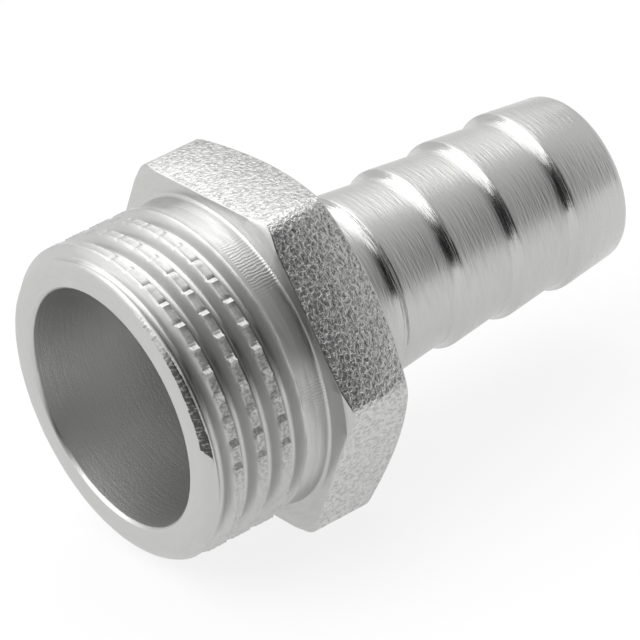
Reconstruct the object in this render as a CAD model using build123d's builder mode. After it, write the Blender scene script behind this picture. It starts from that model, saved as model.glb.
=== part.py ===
"""Male hose tail: a parallel pipe thread, a hexagon and a four-barb tail, all one turned piece.

All lengths are in millimetres. The piece lies along X with one flat of the hexagon up. The origin is
on the axis in the plane of the seat, the turned face of the hexagon that the thread screws in to.
The thread points to -X and the free end of the tail to +X.
"""

import os
from math import atan2, ceil, cos, degrees, radians, sin, tan

from build123d import *

# Pipe thread, right-handed, with flat crests and a root in three straight cuts
thread_pitch = 25.4 / 14
thread_diameter = 20.8
crest_width = 0.58
flank_angle = 27.5
root_radius = 0.3
root_flat = 0.26

# Where the full groove ends, measured from the seat and round from the top, and how it leaves
groove_end_length = 2.24
groove_end_angle = 144.0
runout_turns = 0.3
runout_rise = 1.1

# Threaded end, measured from the seat, and its front edge
thread_length = 9.0
front_round = 1.15
front_round_cuts = 3
neck_diameter = 20.36
neck_length = 1.84
neck_flare = 0.3

# Hexagon, with corners rounded and both sides turned to a chamfer
across_flats = 22.0
hexagon_length = 5.3
corner_radius = 1.4
seat_chamfer_diameter = 23.8
seat_chamfer_angle = 20.0
back_chamfer_diameter = 21.1
back_chamfer_angle = 25.0

# Barbed tail, measured from the seat to its free end
tail_length = 28.2
tail_base_diameter = 12.2
tail_end_diameter = 11.25
tail_flare = 0.4
barb_count = 4
barb_pitch = 4.65
last_ramp_length = 4.55
barb_diameter = 12.24
barb_land = 0.22
barb_shoulder = 0.27
barb_shoulder_angle = 60.0
barb_heel = 0.18
barb_heel_angle = 25.0
end_round = 0.5
end_round_cuts = 2

# Bore, wide through the threaded end and narrow through the tail
wide_bore_diameter = 15.8
wide_bore_depth = 9.5
tail_bore_diameter = 9.5
drill_point_angle = 118.0
wide_bore_edge = 0.2
tail_bore_edge = 0.3

# How far the cutting tools run past the metal
tool_run = 0.5

# Radii and places worked out from the sizes above
thread_radius = thread_diameter / 2
neck_radius = neck_diameter / 2
barb_radius = barb_diameter / 2
tail_base_radius = tail_base_diameter / 2
tail_end_radius = tail_end_diameter / 2
wide_bore_radius = wide_bore_diameter / 2
tail_bore_radius = tail_bore_diameter / 2
corner_reach = across_flats / 2 / cos(radians(30))
shoulder_run = barb_shoulder / tan(radians(barb_shoulder_angle))
heel_run = barb_heel / tan(radians(barb_heel_angle))
first_crest = tail_length - last_ramp_length - (barb_count - 1) * barb_pitch


def rounded_end(face: float, radius: float, size: float, cuts: int) -> list[tuple[float, float]]:
    """Corners of a quarter round in straight cuts, from an end face to the outside, as (x, radius)."""
    inward = size if face < 0 else -size
    turns = [radians(90 * cut / cuts) for cut in range(cuts + 1)]
    return [(face + inward * (1 - cos(turn)), radius - size * (1 - sin(turn))) for turn in turns]


def tail_outline() -> list[tuple[float, float]]:
    """Corners of the tail's outside from the hexagon to the free end, as (x, radius)."""
    corners = [(hexagon_length, tail_base_radius + tail_flare)]
    corners.append((hexagon_length + tail_flare, tail_base_radius))
    for barb in range(barb_count):
        crest = first_crest + barb * barb_pitch
        corners.append((crest - shoulder_run - heel_run, barb_radius - barb_shoulder - barb_heel))
        corners.append((crest - shoulder_run, barb_radius - barb_shoulder))
        corners.append((crest, barb_radius))
        corners.append((crest + barb_land, barb_radius))
    return corners + rounded_end(tail_length, tail_end_radius, end_round, end_round_cuts)[::-1]


# Hexagon bar, cut to length and chamfered by turning
with BuildPart() as hexagon:
    with BuildSketch(Plane.YZ) as flats:
        RegularPolygon(radius=across_flats / 2, side_count=6, major_radius=False)
        fillet(flats.vertices(), corner_radius)
    extrude(amount=hexagon_length)
    seat_cut = (corner_reach - seat_chamfer_diameter / 2) * tan(radians(seat_chamfer_angle))
    back_cut = (corner_reach - back_chamfer_diameter / 2) * tan(radians(back_chamfer_angle))
    with BuildSketch(Plane.XZ):
        Polygon(
            (0, 0),
            (0, seat_chamfer_diameter / 2),
            (seat_cut, corner_reach),
            (hexagon_length - back_cut, corner_reach),
            (hexagon_length, back_chamfer_diameter / 2),
            (hexagon_length, 0),
            align=None,
        )
    revolve(axis=Axis.X, mode=Mode.INTERSECT)

# Thread groove, cut one turn at a time up to the end of its full depth, and then on a cone out of
# the metal. Each cutter starts at the top, ends or begins where the full groove ends, and is turned
# to groove_end_angle when it is used.
flank = radians(flank_angle)
half_mouth = (thread_pitch - crest_width) / 2
root_centre = thread_radius - (half_mouth - root_radius / cos(flank)) / tan(flank)
groove_turns = ceil((thread_length - groove_end_length) / thread_pitch)
runout_length = runout_turns * thread_pitch
runout_cone = atan2(runout_rise, runout_length)


def groove_cutter(path: Helix) -> Part:
    """Sweep the groove's section along a path that starts at the top of the thread."""
    middle = (path @ 0).X
    flank_end = root_radius * cos(flank)
    flank_end_z = root_centre - root_radius * sin(flank)
    root_z = root_centre - root_radius
    mouth = half_mouth + tool_run * tan(flank)
    mouth_z = thread_radius + tool_run
    with BuildPart() as cutter:
        with BuildSketch(Plane.XZ):
            Polygon(
                (middle - mouth, mouth_z),
                (middle - flank_end, flank_end_z),
                (middle - root_flat / 2, root_z),
                (middle + root_flat / 2, root_z),
                (middle + flank_end, flank_end_z),
                (middle + mouth, mouth_z),
                align=None,
            )
        sweep(path=path, is_frenet=True)
    return cutter.part


full_turn = groove_cutter(
    Helix(
        pitch=thread_pitch,
        height=thread_pitch,
        radius=thread_radius,
        center=(-groove_end_length - thread_pitch, 0, 0),
        direction=(1, 0, 0),
    )
)
run_out = groove_cutter(
    Helix(
        pitch=thread_pitch / cos(runout_cone),
        height=runout_length,
        radius=thread_radius,
        center=(-groove_end_length, 0, 0),
        direction=(1, 0, 0),
        cone_angle=degrees(runout_cone),
    )
)

# The piece itself: threaded end and neck, hexagon, tail, then the bore and the groove
with BuildPart() as hose_tail:
    with BuildSketch(Plane.XZ):
        Polygon(
            (-thread_length, 0),
            *rounded_end(-thread_length, thread_radius, front_round, front_round_cuts),
            (-neck_length, thread_radius),
            (-neck_length, neck_radius),
            (-neck_flare, neck_radius),
            (0, neck_radius + neck_flare),
            (0, 0),
            align=None,
        )
    revolve(axis=Axis.X)

    add(hexagon.part)

    with BuildSketch(Plane.XZ):
        Polygon((hexagon_length, 0), *tail_outline(), (tail_length, 0), align=None)
    revolve(axis=Axis.X)

    with BuildSketch(Plane.XZ):
        drill_point = (wide_bore_radius - tail_bore_radius) / tan(radians(drill_point_angle / 2))
        Polygon(
            (-thread_length, 0),
            (-thread_length, wide_bore_radius + wide_bore_edge),
            (-thread_length + wide_bore_edge, wide_bore_radius),
            (-thread_length + wide_bore_depth, wide_bore_radius),
            (-thread_length + wide_bore_depth + drill_point, tail_bore_radius),
            (tail_length - tail_bore_edge, tail_bore_radius),
            (tail_length, tail_bore_radius + tail_bore_edge),
            (tail_length, 0),
            align=None,
        )
    revolve(axis=Axis.X, mode=Mode.SUBTRACT)

    for turn in range(groove_turns):
        place = Location((-turn * thread_pitch, 0, 0), (groove_end_angle, 0, 0))
        add(full_turn.moved(place), mode=Mode.SUBTRACT)
    add(run_out, rotation=(groove_end_angle, 0, 0), mode=Mode.SUBTRACT)

hose_tail.part.label = "hose_tail"

os.makedirs("parts", exist_ok=True)
export_step(hose_tail.part, "parts/hose_tail.step")
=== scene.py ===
"""Looks of a male hose tail in nickel-plated brass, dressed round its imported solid.

Sizes in the classes are in millimetres, and become metres where a mesh is made. The piece lies along
X with its thread to -X. An angle round the axis is counted from the top (+Z) towards -Y.
"""

import logging
import math
from collections.abc import Callable
from dataclasses import dataclass, field
from enum import Enum

import bpy
import numpy as np
from mathutils import Matrix, Vector


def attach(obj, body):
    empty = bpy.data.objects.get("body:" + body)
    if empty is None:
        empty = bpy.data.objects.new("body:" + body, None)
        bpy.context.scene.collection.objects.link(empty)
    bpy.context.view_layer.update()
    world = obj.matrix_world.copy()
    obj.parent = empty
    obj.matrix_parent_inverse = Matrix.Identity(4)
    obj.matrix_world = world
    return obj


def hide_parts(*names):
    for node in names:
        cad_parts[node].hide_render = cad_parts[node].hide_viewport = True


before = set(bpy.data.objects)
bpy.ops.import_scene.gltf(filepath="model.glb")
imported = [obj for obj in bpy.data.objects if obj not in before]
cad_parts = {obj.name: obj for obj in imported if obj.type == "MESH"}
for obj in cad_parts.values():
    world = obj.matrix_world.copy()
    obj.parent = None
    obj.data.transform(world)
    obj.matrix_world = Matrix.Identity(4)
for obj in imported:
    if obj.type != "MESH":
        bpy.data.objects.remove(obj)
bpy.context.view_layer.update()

MM = 0.001
TURN = 2 * math.pi
log = logging.getLogger("hose_tail")


class Finish(Enum):
    """The finishes of the piece, each with its material slot's number."""

    THREADED = 0
    FORGED = 1
    BORED = 2
    TAIL = 3


def linear(hex_colour: str) -> tuple[float, float, float, float]:
    """Turn an sRGB hex colour to linear.

    Args:
        hex_colour: six hex digits, such as "c9c8c6".

    Returns:
        Linear red, green and blue, and an alpha of 1.
    """
    parts = [int(hex_colour[i : i + 2], 16) / 255 for i in (0, 2, 4)]
    lin = [p / 12.92 if p <= 0.04045 else ((p + 0.055) / 1.055) ** 2.4 for p in parts]
    return (lin[0], lin[1], lin[2], 1.0)


def add_node(
    tree: bpy.types.NodeTree,
    kind: str,
    settings: dict[str, object] | None = None,
    inputs: dict[str | int, object] | None = None,
) -> bpy.types.Node:
    """Add a node with its settings and links.

    Args:
        tree: the tree that gets the node.
        kind: the node's type name.
        settings: properties of the node by name.
        inputs: for each input, a plain value or the output socket that feeds it.

    Returns:
        The new node.
    """
    node = tree.nodes.new(kind)
    for name, value in (settings or {}).items():
        setattr(node, name, value)
    for name, value in (inputs or {}).items():
        if isinstance(value, bpy.types.NodeSocket):
            tree.links.new(value, node.inputs[name])
        else:
            node.inputs[name].default_value = value
    return node


def deselect_all() -> None:
    """Leave edit mode and select nothing."""
    if bpy.context.object and bpy.context.object.mode != "OBJECT":
        bpy.ops.object.mode_set(mode="OBJECT")
    bpy.ops.object.select_all(action="DESELECT")


def pick_vertices(piece: bpy.types.Object, is_wanted: Callable[[Vector], bool]) -> None:
    """Select the vertices whose place passes a test.

    Args:
        piece: the object, in edit mode.
        is_wanted: says of a place, in mm, whether its vertex is selected.
    """
    bpy.ops.mesh.select_mode(type="VERT")
    bpy.ops.mesh.select_all(action="DESELECT")
    bpy.ops.object.mode_set(mode="OBJECT")
    for vertex in piece.data.vertices:
        vertex.select = is_wanted(vertex.co / MM)
    bpy.ops.object.mode_set(mode="EDIT")


def merge_doubles() -> None:
    """Merge all vertices of the object in edit mode that lie on each other."""
    bpy.ops.mesh.select_all(action="SELECT")
    bpy.ops.mesh.remove_doubles(threshold=1e-6)


@dataclass
class Corner:
    """One corner of a turned outline, and how far its rounding reaches along each side."""

    x: float
    r: float
    soft: float = 0.0
    cuts: int = 2


def draw_outline(name: str, corners: list[Corner]) -> bpy.types.Object:
    """Draw a turned outline in the plane above the axis and round its corners.

    Args:
        name: the new object's name.
        corners: the outline's corners in order.

    Returns:
        The object, in edit mode.
    """
    deselect_all()
    bpy.ops.mesh.primitive_plane_add(size=MM)
    outline = bpy.context.object
    outline.name = outline.data.name = name
    bpy.ops.object.mode_set(mode="EDIT")
    bpy.ops.mesh.select_all(action="SELECT")
    bpy.ops.mesh.merge(type="CENTER")
    bpy.ops.transform.translate(value=(corners[0].x * MM, 0, corners[0].r * MM))
    for before, here in zip(corners, corners[1:]):
        step = ((here.x - before.x) * MM, 0, (here.r - before.r) * MM)
        bpy.ops.mesh.extrude_vertices_move(TRANSFORM_OT_translate={"value": step})
    for corner in corners:
        if corner.soft > 0:
            spot = Vector((corner.x, 0, corner.r))
            pick_vertices(outline, lambda place: (place - spot).length < 0.002)
            bpy.ops.mesh.bevel(offset=corner.soft * MM, segments=corner.cuts, affect="VERTICES")
    return outline


def turned_places(piece: bpy.types.Object) -> tuple[np.ndarray, np.ndarray, np.ndarray]:
    """Read a piece's vertices in turned coordinates.

    Args:
        piece: the object, in object mode.

    Returns:
        Places along the axis in mm, radii in mm, and angles in radians.
    """
    co = np.empty(len(piece.data.vertices) * 3)
    piece.data.vertices.foreach_get("co", co)
    co = co.reshape(-1, 3) / MM
    angle = np.arctan2(-co[:, 1], co[:, 2])
    return co[:, 0], np.hypot(co[:, 1], co[:, 2]), np.where(angle < -1e-6, angle + TURN, angle)


def set_turned(piece: bpy.types.Object, x: np.ndarray, r: np.ndarray, angle: np.ndarray) -> None:
    """Move a piece's vertices to places in turned coordinates, in mm and radians."""
    co = np.stack([x, -r * np.sin(angle), r * np.cos(angle)], 1) * MM
    piece.data.vertices.foreach_set("co", co.ravel())
    piece.data.update()


@dataclass
class Notches:
    """Notches pressed across the thread's crests by a toothed roller, to hold the sealing hemp."""

    count: int = 41
    columns_each: int = 8
    first_column: int = 5
    # across one notch: angles from its deepest place, and how deep each lies below the crest
    across_deg: tuple[float, ...] = (-0.8, 0.0, 1.77, 3.0)
    depths: tuple[float, ...] = (0.0, 0.12, -0.11, 0.0)
    draw: float = 0.3
    # angles round the thread, and how strongly the roller pressed at each
    pressed_deg: tuple[tuple[float, ...], tuple[float, ...]] = ((0, 25, 55, 85, 105), (0.35, 0.4, 1, 1, 0.35))
    reach: float = 0.42

    @property
    def columns(self) -> int:
        """Number of the mesh's columns in one turn."""
        return self.count * self.columns_each

    @property
    def first(self) -> float:
        """Angle of the first notch in radians."""
        return self.first_column * TURN / self.columns

    def drawn(self, angle: np.ndarray) -> np.ndarray:
        """Angles of the mesh's columns, drawn together at each notch.

        Args:
            angle: even angles in radians.

        Returns:
            The drawn angles.
        """
        return angle - self.draw / self.count * np.sin(self.count * (angle - self.first))

    def cut(self, angle: np.ndarray) -> np.ndarray:
        """Depth of the notches.

        Args:
            angle: angles in radians.

        Returns:
            Depths below the crest in mm, negative on the burr that each notch threw up.
        """
        step = TURN / self.count
        off = np.degrees((angle - self.first + step / 2) % step - step / 2)
        return np.interp(off, self.across_deg, self.depths) * np.interp(np.degrees(angle), *self.pressed_deg)


@dataclass
class TornCrest:
    """The torn strip where the thread's first turn leaves the rounded front edge."""

    start_deg: float = 30.0
    end_deg: float = 88.0
    width: float = 0.62
    tear: float = 0.06
    seed: int = 7
    # angles along the strip, and how dull it is at each, which also sets how dark its painted shade is
    dull_and_shade_deg: tuple[tuple[float, ...], tuple[float, ...]] = ((30, 44, 54, 88), (0.55, 0.7, 1.1, 1.1))

    def width_at(self, angle_deg: np.ndarray) -> np.ndarray:
        """Width of the strip in mm at each angle in degrees, 0 outside it."""
        along = (angle_deg - self.start_deg) / (self.end_deg - self.start_deg)
        wide = np.clip(along, 0, 1) ** 0.7 * np.clip(12 * (1 - along), 0, 1)
        return np.where((along > 0) & (along < 1), self.width * wide, 0.0)

    def tears(self, count: int) -> np.ndarray:
        """Small uneven depths in mm, one for each of so many vertices."""
        return np.random.default_rng(self.seed).uniform(0, self.tear, count)


@dataclass
class ThreadedEnd:
    """The parallel pipe thread, from its front face to the plain neck."""

    pitch: float = 25.4 / 14
    crest_radius: float = 10.4
    crest_width: float = 0.58
    flank_deg: float = 27.5
    root_radius: float = 0.3
    front: float = -9.0
    front_round: float = 1.15
    front_rings: tuple[float, ...] = (0.02, 0.06, 0.14, 0.26, 0.42, 0.62, 0.86, 1.15)
    neck_radius: float = 10.18
    neck_start: float = -1.84
    sheet_end: float = -0.9
    groove_end: float = -2.24
    groove_end_deg: float = 144.0
    runout_deg: float = 108.0
    runout_rise: float = 1.1
    turns: int = 7
    last_notch_deg: float = 200.0
    lap_line_deg: tuple[float, float] = (98.0, 160.0)
    lap_line_depth: float = 0.05
    burr: float = 0.035
    burr_seed: int = 3
    # angles round the crests, and how scuffed they are at each, which also sets how much painted shade their
    # scratches get
    scuff_and_shade_deg: tuple[tuple[float, ...], tuple[float, ...]] = ((0, 40, 65, 95, 110), (0.1, 0.25, 1, 1, 0.2))
    # angles round the neck, and how strong the tool's chatter is at each
    chatter_deg: tuple[tuple[float, ...], tuple[float, ...]] = ((14, 24, 38, 46, 76, 83, 90, 95), (0, 1, 1, 0, 0, 1, 1, 0))
    notches: Notches = field(default_factory=Notches)
    torn: TornCrest = field(default_factory=TornCrest)
    # how far each vertex of the groove's section lies from its middle
    half_section: tuple[float, ...] = (0, 0.07, 0.14, 0.2, 0.25, 0.29, 0.4, 0.51, 0.595, 0.64, 0.76, 0.9071)

    def build(self) -> bpy.types.Object:
        """Screw one pitch of plain outline round the axis and trim the sheet square at both ends.

        The sheet is a plain tube whose edges follow the thread. cut_thread() gives it the groove.

        Returns:
            The tube, at the crests' radius and open at both ends.
        """
        half = list(self.half_section)
        places = [-d for d in half[:0:-1]] + half
        middle = self.groove_end - self.pitch * (self.groove_end_deg / 360 + self.turns - 2)
        outline = draw_outline("thread_sheet", [Corner(middle + at, self.crest_radius) for at in places])
        bpy.ops.object.mode_set(mode="OBJECT")
        screw = outline.modifiers.new("turns", "SCREW")
        screw.axis = "X"
        screw.angle = TURN
        screw.screw_offset = self.pitch * MM
        screw.iterations = self.turns
        screw.steps = screw.render_steps = self.notches.columns
        bpy.ops.object.modifier_apply(modifier="turns")
        bpy.ops.object.mode_set(mode="EDIT")
        merge_doubles()
        for place in (self.sheet_end, self.neck_start + 0.02, self.neck_start - 0.02):
            self.ring(place, trim=place == self.sheet_end, side=-1)
        for place in (0.0, *self.front_rings):
            self.ring(self.front + place, trim=place == 0, side=1)
        bpy.ops.object.mode_set(mode="OBJECT")
        x, r, angle = turned_places(outline)
        column = TURN / self.notches.columns
        at_end = (np.abs(x - self.front) < 1e-3) | (np.abs(x - self.sheet_end) < 1e-3)
        set_turned(outline, x, r, np.where(at_end, np.round(angle / column) * column, angle))
        return outline

    @staticmethod
    def ring(place: float, trim: bool, side: int) -> None:
        """Cut a ring of edges round the sheet in edit mode.

        Args:
            place: where the ring lies along the axis, in mm.
            trim: whether what lies beyond the ring is cut off.
            side: 1 to keep the +X side of a trim, -1 to keep the other.
        """
        bpy.ops.mesh.select_all(action="SELECT")
        bpy.ops.mesh.bisect(
            plane_co=(place * MM, 0, 0),
            plane_no=(side, 0, 0),
            clear_inner=trim,
            threshold=1e-7,
        )

    def section(self, across: np.ndarray) -> np.ndarray:
        """Radius of the full groove.

        Args:
            across: distances from the groove's middle, in mm.

        Returns:
            Radii in mm, up to the crest's.
        """
        flank = math.radians(self.flank_deg)
        mouth = (self.pitch - self.crest_width) / 2
        centre = self.crest_radius - (mouth - self.root_radius / math.cos(flank)) / math.tan(flank)
        away = np.abs(across)
        root = centre - np.sqrt(np.clip(self.root_radius**2 - away**2, 0, None))
        side = self.crest_radius - (mouth - away) / math.tan(flank)
        on_root = away < self.root_radius * math.cos(flank)
        return np.minimum(np.where(on_root, root, side), self.crest_radius)

    def blank(self, x: np.ndarray) -> np.ndarray:
        """Radius of the turned blank that the thread is cut on, at each place in mm."""
        into = np.clip(self.front + self.front_round - x, 0, self.front_round)
        rounding = np.sqrt(np.clip(self.front_round**2 - into**2, 0, None))
        front = self.crest_radius - self.front_round + rounding
        return np.where(x > self.neck_start, self.neck_radius, front)

    def cut_thread(self, shell: bpy.types.Object) -> None:
        """Cut the groove, its run-out and the notches in the sheet, by moving its vertices.

        No operator cuts a groove that runs out of the metal, so each vertex goes to its own depth.

        Args:
            shell: the object that the sheet is now a part of.
        """
        x, r, even = turned_places(shell)
        draw = np.clip(-x / -self.sheet_end, 0, 1)
        angle = even + draw * (self.notches.drawn(even) - even)
        degrees = np.degrees(angle)
        last = self.groove_end + self.pitch * (degrees - self.groove_end_deg) / 360
        turns_back = np.round((last - x) / self.pitch)
        across = x - (last - turns_back * self.pitch)
        past = np.clip((degrees - self.groove_end_deg) / self.runout_deg, 0, None)
        rise = np.where(turns_back == 0, self.runout_rise * past, 0.0)
        rise = np.where(turns_back < 0, self.crest_radius, rise)
        cut = self.section(across) + rise

        # the crest that each vertex is nearest to, counted from the front face
        crest = np.floor((x - last) / self.pitch + 4)
        crest_place = last + (crest - 3.5) * self.pitch
        notched = (np.abs(x - crest_place) < self.notches.reach) & (crest > 0)
        notched &= (crest < 3) | ((crest == 3) & (degrees < self.last_notch_deg))
        notch = np.where(notched, self.notches.cut(angle), 0)
        notch *= np.clip(1.5 - np.abs(x - crest_place) / self.notches.reach, 0, 1)
        thrown_up = np.where(cut > self.crest_radius - 0.02, np.clip(-notch, 0, None), 0)
        cut = np.minimum(cut, self.crest_radius - notch)
        lap = (crest == 1) & (np.abs(x - crest_place) < 0.06)
        lap &= (degrees > self.lap_line_deg[0]) & (degrees < self.lap_line_deg[1])
        cut = np.where(lap, cut - self.lap_line_depth, cut)

        uneven = np.random.default_rng(self.burr_seed).uniform(0.1, 1, 720)[(degrees * 2).astype(int) % 720]

        # the torn strip is rough where the rest of the front rounding is smooth
        strip = self.torn.width_at(degrees) * (0.7 + 0.5 * uneven)
        strip_end = last - 3 * self.pitch - (self.pitch - self.crest_width) / 2
        on_sheet = (np.abs(r - self.crest_radius) < 1e-3) & (x < self.sheet_end + 1e-3)
        on_strip = on_sheet & (strip > 0) & (x > strip_end - strip) & (x < strip_end + 0.05) & (x > self.front + 0.03)
        torn = self.blank(x) - np.where(on_strip, self.torn.tears(len(x)), 0)
        new_r = np.where(on_sheet, np.minimum(cut, torn), r)

        # the burr along both edges of each crest
        at_edge = np.abs(np.abs(across) - self.half_section[9]) < 0.02
        at_edge &= on_sheet & (x < self.neck_start - 0.05) & (new_r > self.crest_radius - 1e-3) | on_strip & at_edge
        new_r = new_r + np.where(at_edge, self.burr * uneven, 0) + np.where(on_sheet, thrown_up, 0)
        set_turned(shell, x, new_r, angle)
        on_crest = on_sheet & (new_r > self.crest_radius - 0.04) & (crest > 0) & (crest < 4) & (x < self.neck_start)
        self.mark(shell, "crest", np.where(on_crest, np.interp(degrees, *self.scuff_and_shade_deg), 0.0))
        # the torn mark also sets where the strip is painted dark, as painted shade of its crevices
        self.mark(shell, "torn", np.where(on_strip, np.interp(degrees, *self.torn.dull_and_shade_deg), 0.0))
        chatter = on_sheet & (x > self.neck_start) | ~on_sheet & (x < -0.05) & (r > self.neck_radius - 0.01)
        self.mark(shell, "chatter", np.where(chatter, np.interp(degrees, *self.chatter_deg), 0.0))
        shoulder = (x > 6) & (r > 5.3) & (((x - 9.7 + 0.6) % 4.65) < 0.62)
        self.mark(shell, "shoulder", np.where(shoulder, 1.0, 0.0))
        self.mark(shell, "turn", np.where(angle > 0.75 * TURN, angle - TURN, angle) * self.crest_radius)

    @staticmethod
    def mark(shell: bpy.types.Object, name: str, values: np.ndarray) -> None:
        """Store one number for each vertex, for a material to read."""
        attribute = shell.data.attributes.new(name, "FLOAT", "POINT")
        attribute.data.foreach_set("value", values.astype(np.float32))


@dataclass
class Hexagon:
    """The spanner hexagon: flats on a turned blank that is faced and chamfered on both sides."""

    across_flats: float = 22.0
    length: float = 5.3
    corner_radius: float = 1.4
    corner_cuts: int = 7
    blank_radius: float = 12.6
    seat_radius: float = 11.9
    seat_deg: float = 20.0
    back_radius: float = 10.55
    back_deg: float = 25.0
    rim_soft: float = 0.09
    fold_room: float = 0.3

    def corners(self) -> list[Corner]:
        """Corners of the turned blank's outline, from the seat's edge to the back face's edge."""
        seat_run = (self.blank_radius - self.seat_radius) * math.tan(math.radians(self.seat_deg))
        back_run = (self.blank_radius - self.back_radius) * math.tan(math.radians(self.back_deg))
        return [
            Corner(0.0, self.seat_radius),
            Corner(seat_run, self.blank_radius),
            Corner(self.length - back_run, self.blank_radius),
            Corner(self.length, self.back_radius, 0.12),
        ]

    def cut_flats(self, shell: bpy.types.Object) -> None:
        """Cut the six flats and the rounded corners between them, and soften their rims.

        Args:
            shell: the spun shell, in edit mode.
        """
        half = self.across_flats / 2
        corner_axis = (half - self.corner_radius) / math.cos(math.radians(30))
        for side in range(6):
            self.cut_plane(half, 60 * side)
            for cut in range(1, self.corner_cuts + 1):
                off = 60 * cut / (self.corner_cuts + 1) - 30
                reach = corner_axis * math.cos(math.radians(off)) + self.corner_radius
                self.cut_plane(reach, 60 * side + 30 + off)
        self.clear_fold(shell)
        self.pick_rims(shell)
        bpy.ops.mesh.bevel(offset=self.rim_soft * MM, segments=2, affect="EDGES")
        pick_vertices(shell, lambda p: abs(p.x) < 1e-3 and abs(math.hypot(p.y, p.z) - self.seat_radius) < 2e-3)
        bpy.ops.mesh.select_mode(type="EDGE")
        bpy.ops.mesh.mark_sharp()

    @staticmethod
    def cut_plane(reach: float, angle_deg: float) -> None:
        """Cut off what lies further out than a plane along the axis, and close the cut."""
        turn = math.radians(angle_deg)
        out = Vector((0, -math.sin(turn), math.cos(turn)))
        bpy.ops.mesh.select_all(action="SELECT")
        bpy.ops.mesh.bisect(
            plane_co=out * reach * MM,
            plane_no=out,
            use_fill=True,
            clear_outer=True,
            threshold=1e-7,
        )

    def clear_fold(self, shell: bpy.types.Object) -> None:
        """Slide the seat edge's vertices away from the rims, so that a softened rim has room."""
        bpy.ops.object.mode_set(mode="OBJECT")
        x, r, angle = turned_places(shell)
        sixth = TURN / 6
        off = (angle + sixth / 2) % sixth - sixth / 2
        meets = math.acos(self.across_flats / 2 / self.seat_radius)
        clear = meets + self.fold_room / self.seat_radius
        on_fold = (np.abs(x) < 1e-3) & (np.abs(r - self.seat_radius) < 1e-3)
        near = on_fold & (np.abs(off) > meets + 5e-4) & (np.abs(off) < clear)
        set_turned(shell, x, r, np.where(near, angle - off + np.sign(off) * clear, angle))
        bpy.ops.object.mode_set(mode="EDIT")
        merge_doubles()

    def pick_rims(self, shell: bpy.types.Object) -> None:
        """Select the edges between the milled sides and the turned faces, in edit mode."""
        bpy.ops.mesh.select_mode(type="EDGE")
        bpy.ops.mesh.select_all(action="DESELECT")
        bpy.ops.object.mode_set(mode="OBJECT")
        mesh = shell.data
        is_side = {}
        for face in mesh.polygons:
            r = math.hypot(face.center.y, face.center.z) / MM
            inside = 0 < face.center.x / MM < self.length and r > self.across_flats / 2 - 0.3
            is_side[face.index] = inside and abs(face.normal.x) < 0.05
        sides: dict[tuple[int, int], list[bool]] = {}
        for face in mesh.polygons:
            for key in face.edge_keys:
                sides.setdefault(key, []).append(is_side[face.index])
        for edge in mesh.edges:
            edge.select = sorted(sides.get(edge.key, [])) == [False, True]
        bpy.ops.object.mode_set(mode="EDIT")

    def is_forged(self, x: np.ndarray, r: np.ndarray, lean: np.ndarray) -> np.ndarray:
        """Whether each face is one of the milled sides.

        Args:
            x: places of the faces along the axis in mm.
            r: their radii in mm.
            lean: how far their normals lean along the axis, from 0 to 1.
        """
        return (x > 0) & (x < self.length) & (r > self.across_flats / 2 - 0.3) & (lean < 0.05)


@dataclass
class BarbedTail:
    """The tail that the hose is pushed over, with its barbs."""

    length: float = 28.2
    base_radius: float = 6.1
    end_radius: float = 5.625
    flare: float = 0.5
    barb_radius: float = 6.12
    barb_root: float = 5.66
    barb_count: int = 4
    barb_pitch: float = 4.65
    last_ramp: float = 4.55
    land: float = 0.22
    shoulder_run: float = 0.38
    root_soft: float = 0.52
    end_round: float = 0.5

    def corners(self, start: float) -> list[Corner]:
        """Corners of the outline.

        Args:
            start: where the tail leaves the hexagon, in mm.

        Returns:
            The corners from the hexagon to the free end's face.
        """
        made = [Corner(start, self.base_radius, self.flare, 4)]
        for barb in range(self.barb_count):
            crest = self.length - self.last_ramp - (self.barb_count - 1 - barb) * self.barb_pitch
            made.append(Corner(crest - self.shoulder_run, self.barb_root, self.root_soft, 4))
            made.append(Corner(crest, self.barb_radius, 0.05))
            made.append(Corner(crest + self.land, self.barb_radius, 0.1))
        made.append(Corner(self.length, self.end_radius, self.end_round, 5))
        return made


@dataclass
class Bore:
    """The way through: wide under the thread, then drilled on narrow through the tail."""

    wide_radius: float = 7.9
    wide_end: float = 0.5
    narrow_radius: float = 4.75
    drill_deg: float = 59.0
    front_edge: float = 0.2
    end_edge: float = 0.3

    def corners(self, end: float, front: float) -> list[Corner]:
        """Corners of the outline.

        Args:
            end: where the free end's face lies, in mm.
            front: where the front face lies, in mm.

        Returns:
            The corners from the free end to the front face.
        """
        run = (self.wide_radius - self.narrow_radius) / math.tan(math.radians(self.drill_deg))
        return [
            Corner(end, self.narrow_radius + self.end_edge, 0.08),
            Corner(end - self.end_edge, self.narrow_radius, 0.08),
            Corner(self.wide_end + run, self.narrow_radius, 0.15),
            Corner(self.wide_end, self.wide_radius, 0.3, 3),
            Corner(front + self.front_edge, self.wide_radius, 0.08),
            Corner(front, self.wide_radius + self.front_edge, 0.06),
        ]


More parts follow.
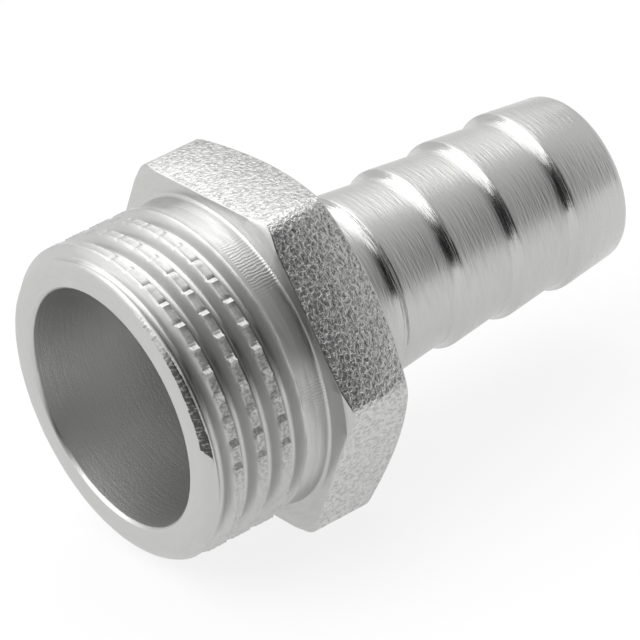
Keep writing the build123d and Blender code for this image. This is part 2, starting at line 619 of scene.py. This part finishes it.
@dataclass
class HoseTail:
    """The whole piece, one shell with three finishes."""

    thread: ThreadedEnd = field(default_factory=ThreadedEnd)
    hexagon: Hexagon = field(default_factory=Hexagon)
    tail: BarbedTail = field(default_factory=BarbedTail)
    bore: Bore = field(default_factory=Bore)
    neck_flare: float = 0.32
    smooth_deg: float = 32.0

    def turn_rest(self) -> bpy.types.Object:
        """Spin all but the thread from one outline and cut the flats.

        Returns:
            The shell, open where the thread's sheet belongs.
        """
        thread = self.thread
        outline = [
            Corner(thread.sheet_end, thread.crest_radius),
            Corner(0.0, thread.neck_radius, self.neck_flare, 4),
            *self.hexagon.corners(),
            *self.tail.corners(self.hexagon.length),
            *self.bore.corners(self.tail.length, thread.front),
            Corner(thread.front, thread.crest_radius),
        ]
        rest = draw_outline("hose_tail_shell", outline)
        bpy.ops.mesh.select_all(action="SELECT")
        bpy.ops.mesh.spin(steps=thread.notches.columns, angle=TURN, center=(0, 0, 0), axis=(1, 0, 0))
        merge_doubles()
        bpy.ops.mesh.select_all(action="SELECT")
        bpy.ops.mesh.normals_make_consistent(inside=False)
        self.hexagon.cut_flats(rest)
        bpy.ops.object.mode_set(mode="OBJECT")
        return rest

    def build(self) -> bpy.types.Object:
        """Join the threaded end to the rest, cut the thread and mark the finishes.

        Returns:
            The finished, closed shell.
        """
        thread, shell = self.thread.build(), self.turn_rest()
        deselect_all()
        thread.select_set(True)
        shell.select_set(True)
        bpy.context.view_layer.objects.active = shell
        bpy.ops.object.join()
        bpy.ops.object.mode_set(mode="EDIT")
        merge_doubles()
        bpy.ops.object.mode_set(mode="OBJECT")
        self.thread.cut_thread(shell)
        bpy.ops.object.mode_set(mode="EDIT")
        bpy.ops.mesh.select_all(action="SELECT")
        bpy.ops.mesh.delete_loose(use_faces=True)
        bpy.ops.mesh.select_all(action="SELECT")
        bpy.ops.mesh.fill_holes(sides=4)
        bpy.ops.mesh.normals_make_consistent(inside=False)
        bpy.ops.object.mode_set(mode="OBJECT")
        self.mark_finishes(shell)
        bpy.ops.object.shade_smooth_by_angle(angle=math.radians(self.smooth_deg))
        log.info("%s: %d faces", shell.name, len(shell.data.polygons))
        return shell

    def mark_finishes(self, shell: bpy.types.Object) -> None:
        """Give each face the number of its finish."""
        mesh = shell.data
        centre, normal = np.empty(len(mesh.polygons) * 3), np.empty(len(mesh.polygons) * 3)
        mesh.polygons.foreach_get("center", centre)
        mesh.polygons.foreach_get("normal", normal)
        centre, lean = centre.reshape(-1, 3) / MM, np.abs(normal[::3])
        x, r = centre[:, 0], np.hypot(centre[:, 1], centre[:, 2])
        kind = np.where(x > self.hexagon.length - 0.01, Finish.TAIL.value, Finish.THREADED.value)
        kind[self.hexagon.is_forged(x, r, lean)] = Finish.FORGED.value
        in_wide = (r < self.bore.wide_radius + 0.01) & (x < self.bore.wide_end + 2)
        kind[in_wide | (r < self.bore.narrow_radius + 0.01)] = Finish.BORED.value
        mesh.polygons.foreach_set("material_index", kind)


@dataclass
class Viewpoint:
    """The photograph's camera, fitted to the edges seen in it. Its place is in metres."""

    place: tuple[float, float, float] = (-0.1390728, -0.2156760, 0.1472599)
    right: tuple[float, float, float] = (0.778123, -0.615213, -0.126642)
    up: tuple[float, float, float] = (0.395496, 0.323254, 0.859704)
    lens: float = 270.73
    sensor: float = 36.0

    def build(self) -> bpy.types.Object:
        """Add the camera and make it the scene's.

        Returns:
            The camera.
        """
        bpy.ops.object.camera_add(location=self.place)
        camera = bpy.context.object
        right, up = Vector(self.right), Vector(self.up)
        axes = Matrix((right, up, right.cross(up))).transposed()
        camera.rotation_euler = axes.to_euler()
        camera.data.lens = self.lens
        camera.data.sensor_width = self.sensor
        camera.data.clip_start = 0.01
        bpy.context.scene.camera = camera
        return camera


@dataclass(frozen=True)
class Softbox:
    """A soft lamp, set by how bright its face looks: 1 renders white. Lengths are in metres."""

    name: str
    place: tuple[float, float, float]
    aim: tuple[float, float, float]
    width: float
    height: float
    brightness: float

    def build(self) -> bpy.types.Object:
        """Add the lamp, turned to its aim.

        Returns:
            The lamp.
        """
        bpy.ops.object.light_add(type="AREA", location=self.place)
        lamp = bpy.context.object
        lamp.name = self.name
        towards = Vector(self.aim) - Vector(self.place)
        lamp.rotation_euler = towards.to_track_quat("-Z", "Y").to_euler()
        lamp.data.shape = "RECTANGLE"
        lamp.data.size, lamp.data.size_y = self.width, self.height
        lamp.data.energy = self.brightness * math.pi * self.width * self.height
        return lamp


@dataclass
class Studio:
    """The floor, the lamps and the dim room round them."""

    floor_z: float = -0.011
    floor_size: float = 6.0
    floor_colour: str = "f4f4f4"
    floor_glow: float = 0.84
    room_colour: str = "eaeaea"
    dark_colour: str = "282828"
    dark_deg: tuple[float, float] = (246.0, 16.0)
    dark_reach_deg: tuple[float, float] = (88.0, 30.0)
    lamps: tuple[Softbox, ...] = (
        Softbox("overhead", (-0.07, 0.1, 0.4), (0.0, 0.0, 0.0), 0.84, 0.5, 1.3),
        Softbox("behind_left", (-0.33, 0.17, 0.25), (0.0, 0.0, 0.0), 0.4, 0.38, 1.7),
        Softbox("behind_right", (0.24, 0.32, 0.24), (0.0, 0.0, 0.0), 0.3, 0.2, 0.32),
    )

    def build(self) -> None:
        """Add the floor, the lamps and the world."""
        deselect_all()
        bpy.ops.mesh.primitive_plane_add(size=self.floor_size, location=(0, 0, self.floor_z))
        floor = bpy.context.object
        floor.name = "floor"
        floor.data.materials.append(self.floor_material())
        for lamp in self.lamps:
            lamp.build()
            log.info("lamp %s", lamp.name)
        self.room()
        bpy.context.scene.view_settings.view_transform = "Standard"

    def room(self) -> None:
        """Make the world: an even pale room with one dark side, where the studio is unlit."""
        world = bpy.data.worlds.new("studio_room")
        world.use_nodes = True
        tree = world.node_tree
        place = add_node(tree, "ShaderNodeTexCoord")
        round_deg, up_deg = self.dark_deg
        axis = Vector((1, 0, 0))
        axis.rotate(Matrix.Rotation(math.radians(-up_deg), 3, "Y"))
        axis.rotate(Matrix.Rotation(math.radians(round_deg), 3, "Z"))
        near = add_node(
            tree,
            "ShaderNodeVectorMath",
            {"operation": "DOT_PRODUCT"},
            {0: place.outputs["Generated"], 1: axis},
        )
        outer, inner = (math.cos(math.radians(reach)) for reach in self.dark_reach_deg)
        share = add_node(
            tree,
            "ShaderNodeMapRange",
            inputs={0: near.outputs["Value"], 1: outer, 2: inner},
        )
        colour = add_node(
            tree,
            "ShaderNodeMix",
            {"data_type": "RGBA"},
            {0: share.outputs[0], 6: linear(self.room_colour), 7: linear(self.dark_colour)},
        )
        tree.links.new(colour.outputs[2], tree.nodes["Background"].inputs["Color"])
        bpy.context.scene.world = world

    def floor_material(self) -> bpy.types.Material:
        """White paper that looks evenly white but keeps the shadow.

        Returns:
            The floor's material.
        """
        material = bpy.data.materials.new("studio_paper")
        material.use_nodes = True
        tree = material.node_tree
        tree.nodes.clear()
        paper = add_node(tree, "ShaderNodeBsdfDiffuse", inputs={"Color": linear(self.floor_colour)})
        glow = add_node(tree, "ShaderNodeEmission", inputs={"Strength": 1.0})
        path = add_node(tree, "ShaderNodeLightPath")
        seen = add_node(
            tree,
            "ShaderNodeMath",
            {"operation": "MAXIMUM"},
            {0: path.outputs["Is Camera Ray"], 1: path.outputs["Is Glossy Ray"]},
        )
        seen = add_node(
            tree,
            "ShaderNodeMath",
            {"operation": "MAXIMUM"},
            {0: seen.outputs[0], 1: path.outputs["Is Transmission Ray"]},
        )
        share = add_node(
            tree,
            "ShaderNodeMath",
            {"operation": "MULTIPLY"},
            {0: seen.outputs[0], 1: self.floor_glow},
        )
        mixed = add_node(
            tree,
            "ShaderNodeMixShader",
            inputs={0: share.outputs[0], 1: paper.outputs[0], 2: glow.outputs[0]},
        )
        add_node(tree, "ShaderNodeOutputMaterial", inputs={"Surface": mixed.outputs[0]})
        return material


@dataclass(frozen=True)
class NickelPlate:
    """What the piece's finishes share: nickel plate on brass, a near-neutral grey metal."""

    name: str
    colour: str = "c3c3c2"
    roughness: float = 0.2

    def start(self) -> tuple[bpy.types.Material, bpy.types.Node, bpy.types.Node]:
        """Make the material with its shader and the coordinates that its patterns read.

        Returns:
            The material, its shader, and the Texture Coordinate node.
        """
        material = bpy.data.materials.new(self.name)
        material.use_nodes = True
        shader = material.node_tree.nodes["Principled BSDF"]
        shader.inputs["Base Color"].default_value = linear(self.colour)
        shader.inputs["Metallic"].default_value = 1.0
        shader.inputs["Roughness"].default_value = self.roughness
        place = add_node(material.node_tree, "ShaderNodeTexCoord")
        return material, shader, place


def ring_places(
    tree: bpy.types.NodeTree, place: bpy.types.Node, spacing: float, length: float
) -> bpy.types.NodeSocket:
    """Coordinates in which a noise draws lines round the piece, as a lathe tool leaves them.

    Args:
        tree: the material's tree.
        place: its Texture Coordinate node.
        spacing: distance between lines in mm.
        length: about how far a line runs before it fades, in mm.

    Returns:
        The vector for a noise of scale 1.
    """
    split = add_node(tree, "ShaderNodeSeparateXYZ", inputs={0: place.outputs["Object"]})
    flat = add_node(
        tree,
        "ShaderNodeVectorMath",
        {"operation": "MULTIPLY"},
        {0: place.outputs["Object"], 1: (0, 1, 1)},
    )
    radius = add_node(tree, "ShaderNodeVectorMath", {"operation": "LENGTH"}, {0: flat.outputs[0]})
    along = add_node(
        tree,
        "ShaderNodeMath",
        {"operation": "MULTIPLY_ADD"},
        {0: radius.outputs["Value"], 1: 0.8, 2: split.outputs["X"]},
    )
    joined = add_node(
        tree,
        "ShaderNodeCombineXYZ",
        inputs={"X": along.outputs[0], "Y": split.outputs["Y"], "Z": split.outputs["Z"]},
    )
    mapping = add_node(
        tree,
        "ShaderNodeMapping",
        inputs={"Vector": joined.outputs[0], "Scale": (1 / (spacing * MM), 1 / (length * MM), 1 / (length * MM))},
    )
    return mapping.outputs[0]


@dataclass(frozen=True)
class TurnedNickel(NickelPlate):
    """Nickel-plated brass as it came off the lathe.

    The eye sees fine lines round the piece and highlights drawn out along it. The real lines are about
    0.05 mm apart, too fine to show, so they are drawn at twice that.
    """

    line_spacing: float = 0.1
    line_length: float = 9.0
    line_depth: float = 0.002
    streak_spacing: float = 0.16
    streak_length: float = 1.3
    streak_depth: float = 0.003
    scratch_spacing: float = 0.19
    scratch_depth: float = 0.03
    # darker colour painted into the crests' scratches: painted shade
    scratch_shade_colour: str = "a2a2a1"
    # near black painted into the torn strip: painted shade of its crevices
    torn_shade_colour: str = "505050"
    chatter_spacing: float = 0.22
    chatter_depth: float = 0.009

    def material(self) -> bpy.types.Material:
        """Make the finish's material.

        Returns:
            The material.
        """
        material, shader, place = self.start()
        tree = material.node_tree
        lines = add_node(
            tree,
            "ShaderNodeTexNoise",
            inputs={
                "Vector": ring_places(tree, place, self.line_spacing, self.line_length),
                "Scale": 1.0,
                "Detail": 1.0,
            },
        )
        streaks = add_node(
            tree,
            "ShaderNodeTexNoise",
            inputs={
                "Vector": ring_places(tree, place, self.streak_spacing, self.streak_length),
                "Scale": 1.0,
                "Detail": 2.0,
            },
        )
        bump = add_node(
            tree,
            "ShaderNodeBump",
            inputs={"Strength": 1.0, "Distance": self.line_depth * MM, "Height": lines.outputs["Fac"]},
        )
        bump = add_node(
            tree,
            "ShaderNodeBump",
            inputs={
                "Strength": 1.0,
                "Distance": self.streak_depth * MM,
                "Height": streaks.outputs["Fac"],
                "Normal": bump.outputs["Normal"],
            },
        )
        split = add_node(tree, "ShaderNodeSeparateXYZ", inputs={0: place.outputs["Object"]})
        turn = add_node(tree, "ShaderNodeAttribute", {"attribute_name": "turn"})
        rolled = add_node(
            tree, "ShaderNodeCombineXYZ", inputs={"X": turn.outputs["Fac"], "Y": split.outputs["X"]}
        )
        across = add_node(
            tree,
            "ShaderNodeMapping",
            inputs={
                "Vector": rolled.outputs[0],
                "Scale": (1 / self.scratch_spacing, 0.8 / (self.scratch_spacing * MM), 1),
            },
        )
        scratches = add_node(
            tree, "ShaderNodeTexNoise", inputs={"Vector": across.outputs[0], "Scale": 1.0, "Detail": 2.0}
        )
        crest = add_node(tree, "ShaderNodeAttribute", {"attribute_name": "crest"})
        torn = add_node(tree, "ShaderNodeAttribute", {"attribute_name": "torn"})
        bared = add_node(
            tree,
            "ShaderNodeMath",
            {"operation": "MAXIMUM"},
            {0: crest.outputs["Fac"], 1: torn.outputs["Fac"]},
        )
        bump = add_node(
            tree,
            "ShaderNodeBump",
            inputs={
                "Strength": bared.outputs[0],
                "Distance": self.scratch_depth * MM,
                "Height": scratches.outputs["Fac"],
                "Normal": bump.outputs["Normal"],
            },
        )
        unrolled = add_node(
            tree, "ShaderNodeMapping", inputs={"Vector": rolled.outputs[0], "Scale": (1, 1 / MM, 1)}
        )
        ripples = add_node(
            tree,
            "ShaderNodeTexWave",
            {"bands_direction": "X"},
            {
                "Vector": unrolled.outputs[0],
                "Scale": 0.314 / self.chatter_spacing,
                "Distortion": 4.0,
                "Detail": 1.0,
                "Detail Scale": 1.2,
            },
        )
        chatter = add_node(tree, "ShaderNodeAttribute", {"attribute_name": "chatter"})
        bump = add_node(
            tree,
            "ShaderNodeBump",
            inputs={
                "Strength": chatter.outputs["Fac"],
                "Distance": self.chatter_depth * MM,
                "Height": ripples.outputs["Fac"],
                "Normal": bump.outputs["Normal"],
            },
        )
        tree.links.new(bump.outputs["Normal"], shader.inputs["Normal"])
        rough = add_node(
            tree,
            "ShaderNodeMapRange",
            inputs={0: streaks.outputs["Fac"], 1: 0.3, 2: 0.75, 3: self.roughness, 4: self.roughness + 0.16},
        )
        rough = add_node(
            tree,
            "ShaderNodeMath",
            {"operation": "MULTIPLY_ADD"},
            {0: crest.outputs["Fac"], 1: 0.14, 2: rough.outputs[0]},
        )
        # painted shade: the torn strip is painted unevenly near black, for the shade in its crevices
        uneven = add_node(
            tree,
            "ShaderNodeMath",
            {"operation": "MULTIPLY_ADD"},
            {0: scratches.outputs["Fac"], 1: 1.2, 2: torn.outputs["Fac"]},
        )
        torn_shade_mask = add_node(tree, "ShaderNodeMapRange", inputs={0: uneven.outputs[0], 1: 1.2, 2: 1.7})
        # painted shade: on the crests, the scratches' low places are painted darker
        pits = add_node(tree, "ShaderNodeMapRange", inputs={0: scratches.outputs["Fac"], 1: 0.56, 2: 0.42})
        pits = add_node(
            tree, "ShaderNodeMath", {"operation": "MULTIPLY"}, {0: pits.outputs[0], 1: crest.outputs["Fac"]}
        )
        colour = add_node(
            tree,
            "ShaderNodeMix",
            {"data_type": "RGBA"},
            {0: pits.outputs[0], 6: linear(self.colour), 7: linear(self.scratch_shade_colour)},
        )
        colour = add_node(
            tree,
            "ShaderNodeMix",
            {"data_type": "RGBA"},
            {0: torn_shade_mask.outputs[0], 6: colour.outputs[2], 7: linear(self.torn_shade_colour)},
        )
        tree.links.new(colour.outputs[2], shader.inputs["Base Color"])
        shoulder = add_node(tree, "ShaderNodeAttribute", {"attribute_name": "shoulder"})
        rough = add_node(
            tree,
            "ShaderNodeMath",
            {"operation": "MULTIPLY_ADD"},
            {0: shoulder.outputs["Fac"], 1: -0.14, 2: rough.outputs[0]},
        )
        tree.links.new(rough.outputs[0], shader.inputs["Roughness"])
        return material


@dataclass(frozen=True)
class ForgedNickel(NickelPlate):
    """Nickel-plated brass, forged and shot-blasted: pebbled all over.

    The eye sees small bright ridges that wind round dark pits, about 0.2 mm apart. The pits are painted darker, as
    painted shade.
    """

    colour: str = "d0d0cf"
    roughness: float = 0.32
    pebble_size: float = 0.27
    pebble_depth: float = 0.115
    # colour of the pits: painted shade
    pit_shade_colour: str = "b0b0af"

    def material(self) -> bpy.types.Material:
        """Make the finish's material.

        Returns:
            The material.
        """
        material, shader, place = self.start()
        tree = material.node_tree
        pebbles = add_node(
            tree,
            "ShaderNodeTexNoise",
            inputs={
                "Vector": place.outputs["Object"],
                "Scale": 1 / (self.pebble_size * MM),
                "Detail": 2.0,
                "Roughness": 0.55,
                "Distortion": 0.5,
            },
        )
        waves = add_node(
            tree,
            "ShaderNodeTexNoise",
            inputs={"Vector": place.outputs["Object"], "Scale": 1 / (1.6 * MM), "Detail": 1.0},
        )
        bump = add_node(
            tree,
            "ShaderNodeBump",
            inputs={"Strength": 0.6, "Distance": 0.05 * MM, "Height": waves.outputs["Fac"]},
        )
        bump = add_node(
            tree,
            "ShaderNodeBump",
            inputs={
                "Strength": 1.0,
                "Distance": self.pebble_depth * MM,
                "Height": pebbles.outputs["Fac"],
                "Normal": bump.outputs["Normal"],
            },
        )
        tree.links.new(bump.outputs["Normal"], shader.inputs["Normal"])
        # painted shade: the pebbles' low places are painted darker, standing in for the shade in the pits that the
        # bump does not cast
        height = add_node(tree, "ShaderNodeMapRange", inputs={0: pebbles.outputs["Fac"], 1: 0.36, 2: 0.56})
        colour = add_node(
            tree,
            "ShaderNodeMix",
            {"data_type": "RGBA"},
            {0: height.outputs[0], 6: linear(self.pit_shade_colour), 7: linear(self.colour)},
        )
        tree.links.new(colour.outputs[2], shader.inputs["Base Color"])
        return material


@dataclass(frozen=True)
class BoredNickel(NickelPlate):
    """Nickel-plated brass, bored: duller than the outside, with the tool's feed lines showing."""

    colour: str = "cacac9"
    roughness: float = 0.42
    feed: float = 0.17
    feed_depth: float = 0.01

    def material(self) -> bpy.types.Material:
        """Make the finish's material.

        Returns:
            The material.
        """
        material, shader, place = self.start()
        tree = material.node_tree
        feed = add_node(
            tree,
            "ShaderNodeTexNoise",
            inputs={"Vector": ring_places(tree, place, self.feed, 3.0), "Scale": 1.0, "Detail": 1.0},
        )
        grain = add_node(
            tree,
            "ShaderNodeTexNoise",
            inputs={"Vector": place.outputs["Object"], "Scale": 1 / (0.12 * MM), "Detail": 1.0},
        )
        bump = add_node(
            tree,
            "ShaderNodeBump",
            inputs={"Strength": 1.0, "Distance": self.feed_depth * MM, "Height": feed.outputs["Fac"]},
        )
        bump = add_node(
            tree,
            "ShaderNodeBump",
            inputs={
                "Strength": 1.0,
                "Distance": 0.016 * MM,
                "Height": grain.outputs["Fac"],
                "Normal": bump.outputs["Normal"],
            },
        )
        tree.links.new(bump.outputs["Normal"], shader.inputs["Normal"])
        return material


def main() -> None:
    """Build and dress the piece, and set the stage, the lights and the camera."""
    logging.basicConfig(level=logging.INFO)
    Viewpoint().build()
    Studio().build()
    shell = HoseTail().build()
    finishes = {
        Finish.THREADED: TurnedNickel("nickel_plated_brass_threaded", roughness=0.28),
        Finish.FORGED: ForgedNickel("nickel_plated_brass_forged"),
        Finish.BORED: BoredNickel("nickel_plated_brass_bored"),
        Finish.TAIL: TurnedNickel(
            "nickel_plated_brass_turned",
            roughness=0.29,
            line_depth=0.012,
            streak_spacing=0.14,
            streak_depth=0.03,
        ),
    }
    for kind in sorted(finishes, key=lambda kind: kind.value):
        shell.data.materials.append(finishes[kind].material())
    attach(shell, "root")
    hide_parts("hose_tail")


if __name__ == "__main__":
    main()
